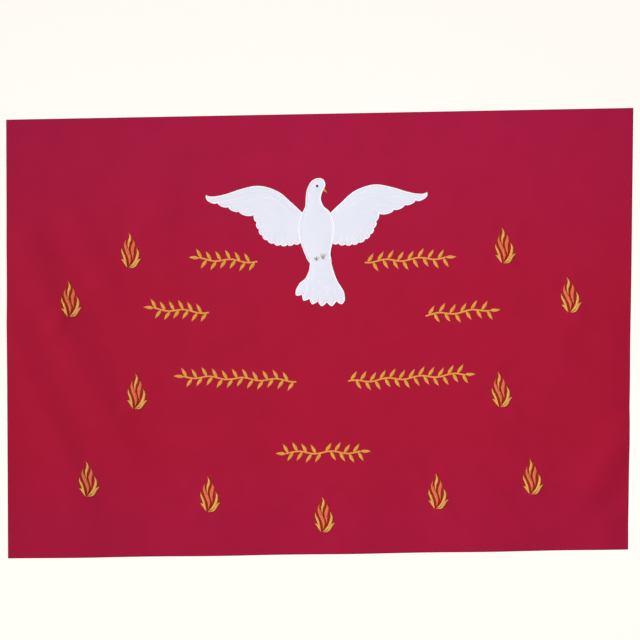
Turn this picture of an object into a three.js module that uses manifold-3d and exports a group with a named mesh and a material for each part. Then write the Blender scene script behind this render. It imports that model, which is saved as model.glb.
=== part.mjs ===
// Processional banner: a wide crimson cloth, hung by its top edge, with a white bird in applique,
// embroidered flames and gold leafy sprigs.
// Millimetres. The origin is the middle of the top edge, +X is to the right as seen from the front,
// +Z is up and the face looks toward -Y.
import * as THREE from "three";
import { mergeVertices } from "three/addons/utils/BufferGeometryUtils.js";
import Module from "manifold-3d";

const wasm = await Module();
wasm.setup();

// Cloth
const WIDTH = 1280;
const DROP = 904;
// The hanging cloth leans: each millimetre down also goes this far toward -X.
const LEAN = 0.0215;
const CLOTH_THICKNESS = 1.2;
const HEM_WIDTH = 20;
const HEM_STEP = 0.6;
const FACET = 36;

// How far the cloth stays flat under its top edge, and how far below that its folds reach full height.
const FLAT_TOP = 24;
const SETTLE = 110;
// Forward swell of the whole cloth: a half wave across, and this share of a half wave down.
const BELLY = 5;
const BELLY_SHARE = 0.75;
// Wave along the lower edge, which dies away upward by this power of the height.
const EDGE_WAVE = 2;
const EDGE_WAVES = 4.5;
const EDGE_WAVE_POWER = 3;

// Pieces sewn to the face
const GAP = 0.3;
const APPLIQUE_THICKNESS = 1.6;
const STITCH_THICKNESS = 1.1;
const SMALL_STITCH_THICKNESS = 0.8;

// The narrowest that a stitched point gets.
const TIP = 0.5;

// Main folds. Each point of a fold's crest is its place across from the middle, its place down from the top
// edge, and its height there. A trough has negative heights.
const FOLDS = [
  {
    name: "left drag fold", halfWidth: 42,
    crest: [[-592, 255, 5.5], [-525, 440, 7.5], [-462, 552, 7], [-402, 675, 5.5], [-340, 775, 1]],
  },
  {
    name: "left edge fold", halfWidth: 36,
    crest: [[-622, 420, 4.5], [-570, 590, 3.5], [-505, 735, 4.5], [-470, 830, 1]],
  },
  {
    name: "upper left fold", halfWidth: 36,
    crest: [[-525, 180, 1], [-485, 255, 4.5], [-437, 340, 4], [-410, 400, 1]],
  },
  {
    name: "swell by the left wing", halfWidth: 55,
    crest: [[-340, 110, 2], [-332, 190, 4.5], [-325, 290, 1]],
  },
  { name: "right drag fold", halfWidth: 36, crest: [[530, 380, 0.5], [505, 470, 2.5], [478, 590, 0.5]] },
  {
    name: "right lower fold", halfWidth: 38,
    crest: [[640, 640, 2], [606, 702, 3.5], [560, 775, 3.2], [520, 815, 1]],
  },
  {
    name: "trough below the right lower fold", halfWidth: 30,
    crest: [[650, 730, -2], [606, 806, -3], [570, 838, -1]],
  },
  {
    name: "upper turn of the right edge", halfWidth: 28,
    crest: [[646, 390, -1], [642, 480, -4], [642, 560, -1]],
  },
  {
    name: "middle turn of the right edge", halfWidth: 28,
    crest: [[640, 575, -1], [640, 608, -4.5], [642, 645, -1]],
  },
  {
    name: "lower turn of the right edge", halfWidth: 28,
    crest: [[644, 800, -1], [640, 850, -4], [642, 890, -2]],
  },
  { name: "bottom swell", halfWidth: 42, crest: [[-290, 795, 1], [-140, 800, 2.5], [0, 805, 1]] },
  { name: "top dip", halfWidth: 32, crest: [[-250, 82, -2], [-160, 82, -5], [-80, 80, -1]] },
];

// The bird's wings: where each leaves the body, which way it points and how far it is lifted, in degrees.
const WINGS = [
  { name: "bird_wing_left", side: -1, across: -32.5, up: -201, lift: 0.9 },
  { name: "bird_wing_right", side: 1, across: 24.5, up: -202, lift: 0.6 },
];

// Outline of one wing from its shoulder: x runs outward along the wing and y is up.
const WING_LEADING = [
  [0, 0], [22, 20], [50, 43], [90, 55], [130, 47.5], [152, 40], [174, 34.5], [189, 33.5], [199.5, 36.5],
];
const WING_LONG = [[198.5, 32], [174, 20.5], [152, 12], [130, 3], [98, -3]];
const WING_SHORT = [
  [98, -3], [91, -24], [84, -41], [72, -54], [55, -62], [38, -65], [20, -63], [3, -60],
];
const WING_ROOT = [[-16, -56], [-16, -8]];
const WING_LEADING_STEPS = 16;
// How far each feather end is rounded out, the long ones from the tip of the wing inward.
const LONG_FEATHER_ROUNDS = [5.8, 4.2, 4.2, 6.2];
const SHORT_FEATHERS = 9;
const SHORT_FEATHER_ROUND = 4;
// Places along one rounded feather end where its outline has a point.
const FEATHER_POINTS = [0, 0.16, 0.4, 0.68, 0.9];

// Outline of the body with its head, from the crown of the head round by the bird's left side on the cloth.
const BODY = [
  [0, -131], [-13, -136], [-23, -152], [-26, -172], [-27, -188], [-33, -202], [-40, -224], [-39, -250],
  [-27, -286], [-17, -304], [3, -309], [27, -304], [25, -286], [31, -254], [33, -228], [24, -201], [10, -187],
  [5, -172], [9, -157], [14, -146], [10, -134],
];
const BODY_STEPS = 63;
const BEAK = [[8, -149], [14, -152.5], [18, -162.5], [12.5, -158.5], [8, -156]];
const EYE = { across: -3, up: -147, radius: 2.4, sides: 12 };
const FEET = [
  { name: "bird_foot_left", across: -4, up: -294.5, reach: 9, spread: 38 },
  { name: "bird_foot_right", across: 9.5, up: -290.5, reach: 14, spread: 24 },
];
const TOE_WIDTH = 2;
const TOE_WIDEST = 0.6;
const TOE_STEPS = 3;

// The tail is a fan of feathers about one point. Angles are from straight down, in degrees.
const TAIL = {
  across: 3.5,
  up: -290,
  feathers: 6,
  firstAngle: -36,
  lastAngle: 31,
  firstRadius: 92,
  lastRadius: 111,
};
// One tail feather's end: share of the feather's width, and how far it stays inside the fan's radius.
const TAIL_FEATHER = [
  { share: 0.02, inset: 9 },
  { share: 0.22, inset: 3 },
  { share: 0.42, inset: 0 },
  { share: 0.75, inset: 4 },
];
const TAIL_SIDE_STEPS = 8;
const TAIL_LEFT = [[-14, -290], [-17, -306], [-19, -320], [-27, -336], [-37, -344], [-44, -355]];
const TAIL_RIGHT = [[55, -376], [53, -364], [39, -340], [29, -312], [24, -290]];

// Flames: one drawing, worked eleven times. Places are from the middle of the top edge. tilt is to the left,
// in degrees.
const FLAMES = [
  { across: 380, up: -276, tilt: 3 },
  { across: -385, up: -272, tilt: 0 },
  { across: 515, up: -379, tilt: 5.5 },
  { across: -508, up: -370, tilt: 2.5 },
  { across: 375, up: -570, tilt: 5 },
  { across: -372, up: -562, tilt: -1.5 },
  { across: 441, up: -751, tilt: 3 },
  { across: -472, up: -741, tilt: 2 },
  { across: 247, up: -778, tilt: 1.5 },
  { across: -222, up: -776, tilt: 1 },
  { across: 14, up: -822, tilt: 1 },
];

// Tongues of one flame: spine from tip to root about the flame's middle, greatest width, and where along
// the spine that width lies, from 0 at the tip to 1 at the root.
const TONGUES = [
  { name: "top", width: 5.6, widest: 0.55, spine: [[-3, 37], [-0.5, 29], [-1, 23], [-3.5, 15], [-3.5, 2]] },
  { name: "left inner", width: 7, widest: 0.6, spine: [[-9, 23], [-11, 13], [-8, 3], [-1, -16], [-2, -30]] },
  { name: "right inner", width: 7.4, widest: 0.6, spine: [[6.5, 22.5], [7, 14], [4.5, 4], [6, -18]] },
  { name: "left outer", width: 4.6, widest: 0.7, spine: [[-17, 5.5], [-17, -1], [-13, -11], [-6.5, -34]] },
  { name: "left spur", width: 3.8, widest: 0.6, spine: [[-18.5, -18], [-14.5, -20], [-7, -34]] },
  { name: "right outer", width: 6, widest: 0.6, spine: [[13, 5.5], [15.5, -5], [9, -25], [-2.5, -34.5]] },
  { name: "right spur", width: 4, widest: 0.5, spine: [[22, -17], [17.5, -20], [8, -33], [-2, -35.5]] },
];
const TONGUE_STEPS = 5;
// Dark stitching stands this far outside each tongue, and fills the heart of the flame between them.
const FLAME_OUTLINE = 3;
const FLAME_HEART = { width: 17, widest: 0.5, spine: [[-1, 12], [0, -8], [-2, -36]] };

// Sprigs: a wavy stem with leaves on both sides and a leaf at its growing end. slope is the fall for each
// millimetre to the right. grows is 1 to the right, -1 to the left, and 0 from the middle to both ends.
const SPRIGS = [
  { across: -195, up: -295, length: 140, slope: 0.064, grows: -1 },
  { across: 189, up: -300, length: 186, slope: -0.033, grows: 1 },
  { across: -291, up: -396, length: 134, slope: 0.081, grows: -1 },
  { across: 297, up: -409, length: 152, slope: -0.073, grows: 1 },
  { across: -170, up: -538, length: 251, slope: 0.052, grows: -1 },
  { across: 193, up: -542, length: 260, slope: -0.05, grows: 1 },
  { across: 12, up: -693, length: 196, slope: 0.006, grows: 0 },
];
const STEM_WIDTH = 3.4;
const STEM_WAVE = 2.6;
const STEM_WAVE_LENGTH = 68;
const LEAF_STEP = 20;
const LEAF_LENGTH = 22;
const LEAF_WIDTH = 7;
const LEAF_WIDEST = 0.42;
const LEAF_ANGLE = 58;

const FINISHES = {
  crimsonCloth: { color: 0xa71d39, roughness: 0.8 },
  whiteSatin: { color: 0xe9ebf6, roughness: 0.5 },
  goldThread: { color: 0xe4a541, roughness: 0.45 },
  flameThread: { color: 0xde693c, roughness: 0.45 },
  oliveThread: { color: 0xa39a62, roughness: 0.5 },
  blackThread: { color: 0x191615, roughness: 0.4 },
};

const radians = THREE.MathUtils.degToRad;
const smoothstep = THREE.MathUtils.smoothstep;

// Shape of the hanging cloth

// How far a fold raises the cloth at a place, from the nearest point of its crest.
function foldRise(fold, across, down) {
  let nearest = Infinity;
  let height = 0;
  for (let i = 0; i + 1 < fold.crest.length; i++) {
    const [x0, y0, height0] = fold.crest[i];
    const [x1, y1, height1] = fold.crest[i + 1];
    const runX = x1 - x0;
    const runY = y1 - y0;
    const along = ((across - x0) * runX + (down - y0) * runY) / (runX * runX + runY * runY);
    const t = THREE.MathUtils.clamp(along, 0, 1);
    const distance = Math.hypot(across - x0 - t * runX, down - y0 - t * runY);
    if (distance < nearest) {
      nearest = distance;
      height = height0 + t * (height1 - height0);
    }
  }
  return height * Math.exp(-((nearest / fold.halfWidth) ** 2));
}

// How far the face stands forward of the flat cloth.
function relief(across, down) {
  const sideways = Math.cos((Math.PI * across) / WIDTH);
  const downward = Math.sin((Math.PI * BELLY_SHARE * down) / DROP);
  let rise = BELLY * sideways * downward;
  const edgeWave = EDGE_WAVE * Math.sin((2 * Math.PI * EDGE_WAVES * across) / WIDTH);
  rise += edgeWave * (down / DROP) ** EDGE_WAVE_POWER;
  for (const fold of FOLDS) {
    rise += foldRise(fold, across, down);
  }
  return rise * smoothstep(down, FLAT_TOP, FLAT_TOP + SETTLE);
}

// Grid lines across a length that starts at start: both hems, their steps and even facets between.
function gridLines(start, length) {
  const inner = length - 2 * (HEM_WIDTH + HEM_STEP);
  const count = Math.round(inner / FACET);
  const lines = [0, HEM_WIDTH];
  for (let i = 0; i <= count; i++) {
    lines.push(HEM_WIDTH + HEM_STEP + (inner * i) / count);
  }
  lines.push(length - HEM_WIDTH, length);
  return lines.map((line) => start + line);
}

const COLUMNS = gridLines(-WIDTH / 2, WIDTH);
const ROWS = gridLines(0, DROP);

// A closed slab on the cloth's grid. front and back give the y of its two faces at a grid point.
function slab(front, back) {
  const positions = [];
  const index = [];
  for (const face of [front, back]) {
    for (const down of ROWS) {
      for (const across of COLUMNS) {
        positions.push(across - LEAN * down, face(across, down), -down);
      }
    }
  }
  const columns = COLUMNS.length;
  const faceSize = columns * ROWS.length;
  const quad = (a, b, c, d) => index.push(a, b, c, a, c, d);
  for (let row = 0; row + 1 < ROWS.length; row++) {
    for (let column = 0; column + 1 < columns; column++) {
      const a = row * columns + column;
      quad(a, a + columns, a + columns + 1, a + 1);
      quad(faceSize + a, faceSize + a + 1, faceSize + a + columns + 1, faceSize + a + columns);
    }
  }
  const wall = (from, to) => quad(from, to, faceSize + to, faceSize + from);
  const last = (ROWS.length - 1) * columns;
  for (let column = 0; column + 1 < columns; column++) {
    wall(column, column + 1);
    wall(last + column + 1, last + column);
  }
  for (let row = 0; row + 1 < ROWS.length; row++) {
    wall((row + 1) * columns, row * columns);
    wall((row + 1) * columns - 1, (row + 2) * columns - 1);
  }
  const geometry = new THREE.BufferGeometry();
  geometry.setAttribute("position", new THREE.Float32BufferAttribute(positions, 3));
  geometry.setIndex(index);
  return geometry;
}

function faceY(across, down) {
  return -CLOTH_THICKNESS / 2 - relief(across, down);
}

function inHem(across, down) {
  const fromSide = WIDTH / 2 - Math.abs(across);
  const fromEnd = Math.min(down, DROP - down);
  return Math.min(fromSide, fromEnd) < HEM_WIDTH + HEM_STEP / 2;
}

function clothGeometry() {
  const back = (across, down) => {
    const layers = inHem(across, down) ? 2 : 1;
    return faceY(across, down) + layers * CLOTH_THICKNESS;
  };
  return slab(faceY, back);
}

// Solids

function toSolid(geometry) {
  const bare = geometry.clone();
  bare.deleteAttribute("normal");
  bare.deleteAttribute("uv");
  const merged = mergeVertices(bare);
  const vertProperties = new Float32Array(merged.attributes.position.array);
  const triVerts = new Uint32Array(merged.index.array);
  return new wasm.Manifold(new wasm.Mesh({ numProp: 3, vertProperties, triVerts }));
}

function toGeometry(solid) {
  const mesh = solid.getMesh();
  const geometry = new THREE.BufferGeometry();
  geometry.setAttribute("position", new THREE.BufferAttribute(mesh.vertProperties, 3));
  geometry.setIndex(new THREE.BufferAttribute(mesh.triVerts, 1));
  return geometry;
}

// A layer that follows the cloth's face from near to far in front of it.
function layer(near, far) {
  const front = (across, down) => faceY(across, down) - far;
  const back = (across, down) => faceY(across, down) - near;
  return toSolid(slab(front, back));
}

const PRISM_DEPTH = 60;

// A straight block with the given outline, right through the cloth. Outline points are [across, up].
function prism(outline) {
  const points = outline.map(([across, up]) => new THREE.Vector2(across + LEAN * up, up));
  const options = { depth: PRISM_DEPTH, bevelEnabled: false };
  const geometry = new THREE.ExtrudeGeometry(new THREE.Shape(points), options);
  geometry.rotateX(Math.PI / 2);
  geometry.translate(0, PRISM_DEPTH / 2, 0);
  return toSolid(geometry);
}

function joined(outlines) {
  let solid = prism(outlines[0]);
  for (const outline of outlines.slice(1)) {
    solid = solid.add(prism(outline));
  }
  return solid;
}

// Outlines

function smooth(points, steps, closed = false) {
  const knots = points.map(([x, y]) => new THREE.Vector3(x, y, 0));
  const curve = new THREE.CatmullRomCurve3(knots, closed, "centripetal");
  const samples = curve.getPoints(steps).map((p) => [p.x, p.y]);
  return closed ? samples.slice(0, -1) : samples;
}

// Rounded feather ends along a row of points: each span bulges to the left of its direction.
function feathered(points, rounds) {
  const outline = [];
  for (let i = 0; i + 1 < points.length; i++) {
    const [x0, y0] = points[i];
    const [x1, y1] = points[i + 1];
    const span = Math.hypot(x1 - x0, y1 - y0);
    const sideX = -(y1 - y0) / span;
    const sideY = (x1 - x0) / span;
    for (const t of FEATHER_POINTS) {
      const bulge = rounds[i] * Math.sqrt(Math.sin(Math.PI * t));
      outline.push([x0 + t * (x1 - x0) + bulge * sideX, y0 + t * (y1 - y0) + bulge * sideY]);
    }
  }
  return outline;
}

// A band along a smooth spine, with its greatest width at widest and a narrow tip at each end.
// extra widens it all along, and lengthens its first tip.
function tongue(spine, width, widest, steps, extra = 0) {
  const centre = smooth(spine, steps);
  const tipRun = Math.hypot(centre[0][0] - centre[1][0], centre[0][1] - centre[1][1]);
  centre[0][0] += (extra * (centre[0][0] - centre[1][0])) / tipRun;
  centre[0][1] += (extra * (centre[0][1] - centre[1][1])) / tipRun;
  const left = [];
  const right = [];
  for (let i = 0; i <= steps; i++) {
    const t = i / steps;
    const before = centre[Math.max(i - 1, 0)];
    const after = centre[Math.min(i + 1, steps)];
    const length = Math.hypot(after[0] - before[0], after[1] - before[1]);
    const sideX = (before[1] - after[1]) / length;
    const sideY = (after[0] - before[0]) / length;
    const share = t < widest ? t / widest : (1 - t) / (1 - widest);
    const taper = extra * Math.min(1, 4 * share);
    const half = Math.max((width / 2) * Math.sin((Math.PI / 2) * share), TIP / 2) + taper;
    left.push([centre[i][0] + half * sideX, centre[i][1] + half * sideY]);
    right.push([centre[i][0] - half * sideX, centre[i][1] - half * sideY]);
  }
  return [...left, ...right.reverse()];
}

function placed(outline, across, up, tilt = 0) {
  const cos = Math.cos(radians(tilt));
  const sin = Math.sin(radians(tilt));
  return outline.map(([x, y]) => [across + x * cos - y * sin, up + x * sin + y * cos]);
}

function signedArea(outline) {
  let twice = 0;
  outline.forEach(([x, y], i) => {
    const [nextX, nextY] = outline[(i + 1) % outline.length];
    twice += x * nextY - nextX * y;
  });
  return twice / 2;
}

// The same outline, moved outward by margin all round.
function grown(outline, margin) {
  const turn = Math.sign(signedArea(outline));
  return outline.map(([x, y], i) => {
    const before = outline[(i + outline.length - 1) % outline.length];
    const after = outline[(i + 1) % outline.length];
    const length = Math.hypot(after[0] - before[0], after[1] - before[1]);
    const outX = (turn * (after[1] - before[1])) / length;
    const outY = (-turn * (after[0] - before[0])) / length;
    return [x + margin * outX, y + margin * outY];
  });
}

// Bird

const bodyOutline = smooth(BODY, BODY_STEPS, true);
const bodyWithGap = prism(grown(bodyOutline, GAP));

function wingOutline(wing) {
  const shortBase = smooth(WING_SHORT, SHORT_FEATHERS);
  const outline = [
    ...smooth(WING_LEADING, WING_LEADING_STEPS),
    ...feathered(WING_LONG, LONG_FEATHER_ROUNDS),
    ...feathered(shortBase, new Array(SHORT_FEATHERS).fill(SHORT_FEATHER_ROUND)),
    ...WING_ROOT,
  ];
  const angle = radians(wing.lift);
  return outline.map(([x, y]) => {
    const outward = x * Math.cos(angle) - y * Math.sin(angle);
    const upward = x * Math.sin(angle) + y * Math.cos(angle);
    return [wing.across + wing.side * outward, wing.up + upward];
  });
}

function tailOutline() {
  const outline = smooth(TAIL_LEFT, TAIL_SIDE_STEPS);
  for (let i = 0; i < TAIL.feathers; i++) {
    for (const { share, inset } of TAIL_FEATHER) {
      const t = (i + share) / TAIL.feathers;
      const angle = radians(TAIL.firstAngle + t * (TAIL.lastAngle - TAIL.firstAngle));
      const radius = TAIL.firstRadius + t * (TAIL.lastRadius - TAIL.firstRadius) - inset;
      outline.push([TAIL.across + radius * Math.sin(angle), TAIL.up - radius * Math.cos(angle)]);
    }
  }
  return [...outline, ...smooth(TAIL_RIGHT, TAIL_SIDE_STEPS)];
}

function toeOutline(foot, degrees) {
  const angle = radians(degrees);
  const tipX = foot.reach * Math.sin(angle);
  const tipY = foot.reach * Math.cos(angle) - foot.reach / 2;
  const root = [0, -foot.reach / 2];
  return placed(tongue([[tipX, tipY], root], TOE_WIDTH, TOE_WIDEST, TOE_STEPS), foot.across, foot.up);
}

// Sprigs and flames

function flameOutlines(flame) {
  const bands = TONGUES.map((row) => tongue(row.spine, row.width, row.widest, TONGUE_STEPS, FLAME_OUTLINE));
  bands.push(tongue(FLAME_HEART.spine, FLAME_HEART.width, FLAME_HEART.widest, TONGUE_STEPS));
  return bands.map((band) => placed(band, flame.across, flame.up, flame.tilt));
}

function stemHeight(x) {
  return STEM_WAVE * Math.sin((2 * Math.PI * x) / STEM_WAVE_LENGTH);
}

// A leaf that leaves the stem at x, at an angle from +x.
function leafOutline(x, degrees) {
  const angle = radians(degrees);
  const turned = (along, off) => [
    x + along * Math.cos(angle) - off * Math.sin(angle),
    stemHeight(x) + along * Math.sin(angle) + off * Math.cos(angle),
  ];
  const half = LEAF_WIDTH / 2;
  return [
    turned(0, -TIP),
    turned(LEAF_WIDEST * LEAF_LENGTH, -half),
    turned(LEAF_LENGTH, 0),
    turned(LEAF_WIDEST * LEAF_LENGTH, half),
    turned(0, TIP),
  ];
}

function sprigOutlines(sprig) {
  const end = sprig.length / 2;
  const from = sprig.grows > 0 ? -end : LEAF_LENGTH - end;
  const to = sprig.grows < 0 ? end : end - LEAF_LENGTH;
  const steps = Math.round((to - from) / LEAF_STEP);
  const step = (to - from) / steps;
  const stem = [];
  for (let i = 0; i <= steps; i++) {
    const x = from + i * step;
    stem.push([x, stemHeight(x)]);
  }
  const under = stem.map(([x, y]) => [x, y - STEM_WIDTH / 2]);
  const over = stem.map(([x, y]) => [x, y + STEM_WIDTH / 2]);
  const outlines = [[...under, ...over.reverse()]];
  for (let i = 0; i < 2 * steps; i++) {
    const x = from + ((i + 0.5) * step) / 2;
    const side = i % 2 === 0 ? 1 : -1;
    const growsRight = (sprig.grows || x) > 0;
    outlines.push(leafOutline(x, growsRight ? side * LEAF_ANGLE : 180 - side * LEAF_ANGLE));
  }
  if (sprig.grows >= 0) {
    outlines.push(leafOutline(to, 0));
  }
  if (sprig.grows <= 0) {
    outlines.push(leafOutline(from, 180));
  }
  return outlines.map((outline) => outline.map(([x, y]) => [
    sprig.across + x,
    sprig.up + y - sprig.slope * x,
  ]));
}

// Assembly

const banner = new THREE.Group();

function addPiece(name, geometry, finish) {
  const material = new THREE.MeshStandardMaterial({ ...finish, metalness: 0 });
  const mesh = new THREE.Mesh(geometry, material);
  mesh.name = name;
  banner.add(mesh);
}

addPiece("banner_cloth", clothGeometry(), FINISHES.crimsonCloth);

const appliqueLayer = layer(GAP, GAP + APPLIQUE_THICKNESS);
const stitchLayer = layer(GAP, GAP + STITCH_THICKNESS);
const onBirdNear = 2 * GAP + APPLIQUE_THICKNESS;
const onBirdLayer = layer(onBirdNear, onBirdNear + SMALL_STITCH_THICKNESS);

for (const wing of WINGS) {
  const solid = prism(wingOutline(wing)).subtract(bodyWithGap).intersect(appliqueLayer);
  addPiece(wing.name, toGeometry(solid), FINISHES.whiteSatin);
}
const body = prism(bodyOutline).intersect(appliqueLayer);
addPiece("bird_body", toGeometry(body), FINISHES.whiteSatin);
const tail = prism(tailOutline()).subtract(bodyWithGap).intersect(appliqueLayer);
addPiece("bird_tail", toGeometry(tail), FINISHES.whiteSatin);
const beak = prism(BEAK).subtract(bodyWithGap).intersect(stitchLayer);
addPiece("bird_beak", toGeometry(beak), FINISHES.goldThread);
const eyeCircle = new THREE.EllipseCurve(EYE.across, EYE.up, EYE.radius, EYE.radius);
const eyeOutline = eyeCircle.getPoints(EYE.sides).slice(0, -1).map((p) => [p.x, p.y]);
addPiece("bird_eye", toGeometry(prism(eyeOutline).intersect(onBirdLayer)), FINISHES.blackThread);
for (const foot of FEET) {
  const solid = joined([-1, 0, 1].map((side) => toeOutline(foot, side * foot.spread))).intersect(onBirdLayer);
  addPiece(foot.name, toGeometry(solid), FINISHES.oliveThread);
}

FLAMES.forEach((flame, i) => {
  const solid = joined(flameOutlines(flame)).intersect(stitchLayer);
  addPiece(`flame_${String(i + 1).padStart(2, "0")}`, toGeometry(solid), FINISHES.flameThread);
});

SPRIGS.forEach((sprig, i) => {
  const solid = joined(sprigOutlines(sprig)).intersect(stitchLayer);
  addPiece(`sprig_${i + 1}`, toGeometry(solid), FINISHES.goldThread);
});

export default banner;
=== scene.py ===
import math

import bpy
import numpy as np
from mathutils import Matrix, Vector
from mathutils.geometry import delaunay_2d_cdt


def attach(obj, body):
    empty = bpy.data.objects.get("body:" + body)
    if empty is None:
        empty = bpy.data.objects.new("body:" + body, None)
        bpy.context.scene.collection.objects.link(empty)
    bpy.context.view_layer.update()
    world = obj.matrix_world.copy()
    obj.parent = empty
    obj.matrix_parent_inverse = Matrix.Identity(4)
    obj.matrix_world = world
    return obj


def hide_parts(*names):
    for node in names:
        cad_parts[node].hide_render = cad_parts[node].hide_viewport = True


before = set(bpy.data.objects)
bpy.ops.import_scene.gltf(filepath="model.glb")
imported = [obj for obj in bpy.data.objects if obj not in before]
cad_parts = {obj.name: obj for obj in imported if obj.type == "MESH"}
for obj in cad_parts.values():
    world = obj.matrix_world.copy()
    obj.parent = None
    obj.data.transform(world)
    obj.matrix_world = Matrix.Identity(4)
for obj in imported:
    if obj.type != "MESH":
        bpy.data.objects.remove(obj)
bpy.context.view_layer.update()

# The banner hangs in the frame of its part: metres, with the middle of its top edge at the origin, its face
# toward -Y and +Z up. Sizes below are in millimetres and become metres as each mesh is made.
MM = 0.001

# Camera
# It stands three metres in front, a little right of the middle and above it, held slightly off level.
CAMERA_PLACE = (0.0374, -3.0733, -0.3072)
CAMERA_YAW = math.radians(0.79)
CAMERA_PITCH = math.radians(-2.12)
CAMERA_ROLL = math.radians(-1.0)
FOCAL_PIXELS = 1500
FRAME_PIXELS = 640

camera_data = bpy.data.cameras.new("camera")
camera_data.sensor_width = 36
camera_data.lens = camera_data.sensor_width * FOCAL_PIXELS / FRAME_PIXELS
camera = bpy.data.objects.new("camera", camera_data)
bpy.context.scene.collection.objects.link(camera)
aim = Matrix.Rotation(CAMERA_YAW, 4, "Z") @ Matrix.Rotation(math.pi / 2 + CAMERA_PITCH, 4, "X")
camera.matrix_world = Matrix.Translation(CAMERA_PLACE) @ aim @ Matrix.Rotation(CAMERA_ROLL, 4, "Z")
bpy.context.scene.camera = camera

# Cloth
# One length of crimson plain-weave cloth, cut 1320 by 944 mm. Its edges are turned 20 mm to the back as a
# hem. It hangs from its straight top edge, leans a little to the left and keeps faint folds at both sides.
WIDTH = 1280
DROP = 904
LEAN = 0.0215
CLOTH = 1.2
HEM = 20
HEM_STEP = 0.6
EDGE_ROUND = 0.7
EDGE_BAND = 2.6
WEAVE_GRID = 6
FLAT_TOP = 24
SETTLE = 110
BELLY = 5
BELLY_SHARE = 0.75
EDGE_WAVE = 2
EDGE_WAVES = 4.5
EDGE_WAVE_POWER = 3

# Each fold: its half width, and the points of its crest as across, down and height. A trough has negative
# heights.
MAIN_FOLDS = (
    (42, ((-592, 255, 5.5), (-525, 440, 7.5), (-462, 552, 7), (-402, 675, 5.5), (-340, 775, 1))),
    (36, ((-622, 420, 4.5), (-570, 590, 3.5), (-505, 735, 4.5), (-470, 830, 1))),
    (36, ((-525, 180, 1), (-485, 255, 4.5), (-437, 340, 4), (-410, 400, 1))),
    (55, ((-340, 110, 2), (-332, 190, 4.5), (-325, 290, 1))),
    (36, ((530, 380, 0.5), (505, 470, 2.5), (478, 590, 0.5))),
    (38, ((640, 640, 2), (606, 702, 3.5), (560, 775, 3.2), (520, 815, 1))),
    (30, ((650, 730, -2), (606, 806, -3), (570, 838, -1))),
    (28, ((646, 390, -1), (642, 480, -4), (642, 560, -1))),
    (28, ((640, 575, -1), (640, 608, -4.5), (642, 645, -1))),
    (28, ((644, 800, -1), (640, 850, -4), (642, 890, -2))),
    (42, ((-290, 795, 1), (-140, 800, 2.5), (0, 805, 1))),
    (32, ((-250, 82, -2), (-160, 82, -5), (-80, 80, -1))),
)
SOFT_CREASES = (
    (16, ((-560, 560, 0.3), (-515, 680, 0.8), (-470, 800, 0.2))),
    (20, ((-330, 120, -0.3), (-420, 60, -0.7))),
    (26, ((250, 60, 0.3), (335, 100, 0.9), (420, 140, 0.2))),
    (40, ((-345, 380, 0.4), (-335, 440, 1.6), (-325, 510, 0.3))),
    (18, ((330, 700, -0.2), (400, 790, -0.7), (470, 880, -0.4))),
    (24, ((-120, 640, 0.2), (-175, 750, 0.7), (-230, 860, 0.3))),
    (30, ((-60, 480, -0.4), (60, 470, -0.4))),
    (22, ((470, 70, 0.8), (530, 130, 1.0), (600, 200, 0.2))),
    (26, ((-560, 60, -0.6), (-540, 150, -0.9), (-560, 230, -0.2))),
    (20, ((300, 560, 0.2), (380, 650, 0.8), (400, 740, 0.2))),
)
# The middles of the flames, across and up. Their stitching puckers the cloth round each.
FLAMES = (
    (380, -276), (-385, -272), (515, -379), (-508, -370), (375, -570), (-372, -562),
    (441, -751), (-472, -741), (247, -778), (-222, -776), (14, -822),
)
PUCKER_RADIUS = 46
PUCKER_WIDTH = 14
PUCKER_DEPTH = 0.5
PUCKER_RAYS = 5
# The stitching also draws one short crease from each flame's foot toward the nearer lower corner.
DRAW_START = (8, 24)
DRAW_END = (34, 58)
DRAW_HALF_WIDTH = 12
DRAW_RISES = (1.1, 0.8)


def ease(value, low, high):
    """A smooth rise from 0 at low to 1 at high."""
    t = np.clip((value - low) / (high - low), 0, 1)
    return t * t * (3 - 2 * t)


def fold_rise(across, down, half_width, crest):
    """How far a fold raises the cloth at each place, from the nearest point of its crest."""
    nearest = np.full(np.shape(across), np.inf)
    height = np.zeros(np.shape(across))
    for (x0, y0, height0), (x1, y1, height1) in zip(crest[:-1], crest[1:]):
        run = np.array([x1 - x0, y1 - y0], float)
        t = np.clip(((across - x0) * run[0] + (down - y0) * run[1]) / (run @ run), 0, 1)
        distance = np.hypot(across - x0 - t * run[0], down - y0 - t * run[1])
        height = np.where(distance < nearest, height0 + t * (height1 - height0), height)
        nearest = np.minimum(nearest, distance)
    return height * np.exp(-(nearest / half_width) ** 2)


def pucker_rise(across, down):
    """The uneven ring round each flame, and the short crease that its stitching draws."""
    rise = 0
    for number, (flame_across, flame_up) in enumerate(FLAMES):
        x = across - flame_across
        y = down + flame_up
        ring = np.exp(-((np.hypot(x, y) - PUCKER_RADIUS) / PUCKER_WIDTH) ** 2)
        rise = rise + PUCKER_DEPTH * ring * np.sin(PUCKER_RAYS * np.arctan2(y, x) + number)
        side = math.copysign(1, flame_across)
        foot = (side * DRAW_START[0], DRAW_START[1], DRAW_RISES[0])
        corner = (side * DRAW_END[0], DRAW_END[1], DRAW_RISES[1])
        rise = rise + fold_rise(x, y, DRAW_HALF_WIDTH, (foot, corner))
    return rise


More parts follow.
